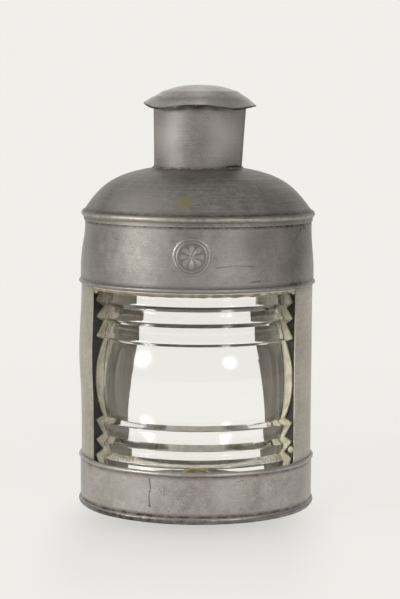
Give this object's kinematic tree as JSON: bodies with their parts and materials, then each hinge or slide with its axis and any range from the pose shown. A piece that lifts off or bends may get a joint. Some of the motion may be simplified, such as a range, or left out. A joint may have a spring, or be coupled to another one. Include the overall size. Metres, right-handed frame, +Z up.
{
  "type": "ship's oil lantern",
  "caption": "Round tinned-sheet ship's lantern with a stepped drum lens in front, a hinged rear door, a domed roof with capped chimney and a lift-out oil lamp.",
  "frame": {"origin": "on the lantern's vertical axis, in the plane of the foot that it stands on", "axes": "+Z up along the axis, -Y towards the lens, +X towards the side on which the rear door is hinged"},
  "size_m": [0.1946, 0.3068, 0.3441],
  "materials": {
    "sheet_tin": "weathered tinned sheet, mottled grey",
    "roof_tin": "dark weathered tinned sheet",
    "hinge_iron": "dull wrought iron",
    "lens_glass": "clear pressed and ground glass",
    "glazing_putty": "dry cream linseed putty",
    "font_tin": "dull tinned sheet",
    "burner_brass": "aged brass",
    "wick_cotton": "woven cotton"
  },
  "bodies": {
    "lantern": {"bottom_plate": "sheet_tin", "base_band": "sheet_tin", "body_shell": "sheet_tin", "upper_band": "sheet_tin", "dome": "roof_tin", "chimney": "sheet_tin", "chimney_cap": "sheet_tin", "cap_straps": "sheet_tin", "lens": "lens_glass", "upper_lens_seat": "sheet_tin", "lower_lens_seat": "sheet_tin", "lens_channels": "sheet_tin", "lens_putty": "glazing_putty", "font_ring": "sheet_tin", "body_hinge_leaves": "hinge_iron", "body_leaf_rivets": "hinge_iron", "hinge_pins": "hinge_iron", "catch_stud": "hinge_iron"},
    "door": {"door_panel": "sheet_tin", "door_hinge_leaves": "hinge_iron", "door_leaf_rivets": "hinge_iron", "door_knob": "burner_brass"},
    "catch": {"turn_catch": "hinge_iron"},
    "lamp": {"oil_font": "font_tin", "burner_collar": "burner_brass", "burner_gallery": "burner_brass", "burner_cone": "burner_brass", "wick_tube": "burner_brass"},
    "wick_winder": {"wick_shaft": "burner_brass", "spur_wheels": "burner_brass", "wick_knob": "burner_brass"},
    "wick_strip": {"wick": "wick_cotton"}
  },
  "joints": [
    {"name": "door_hinge", "type": "hinge", "parent": "lantern", "child": "door", "pos_m": [0.0656, 0.07281, 0.112], "axis": [0, 0, 1], "range_deg": [-64, 94]},
    {"name": "catch_turn", "type": "hinge", "parent": "lantern", "child": "catch", "pos_m": [-0.07989, 0.05624, 0.112], "axis": [-0.8177, 0.5757, 0], "range_deg": [-90, 0]},
    {"name": "lamp_lift", "type": "slide", "parent": "lantern", "child": "lamp", "axis": [0, 0, 1], "range_m": [0, 0.045]},
    {"name": "wick_turn", "type": "hinge", "parent": "lamp", "child": "wick_winder", "pos_m": [0, 0.0058, 0.0344], "axis": [-1, 0, 0], "range_deg": [-70, 90]},
    {"name": "wick_rise", "type": "slide", "parent": "lamp", "child": "wick_strip", "axis": [0, 0, 1], "range_m": [-0.005, 0.0065]}
  ],
  "couplings": [
    {"joint": "wick_rise", "follows": "wick_turn", "m_per_rad": 0.004}
  ]
}
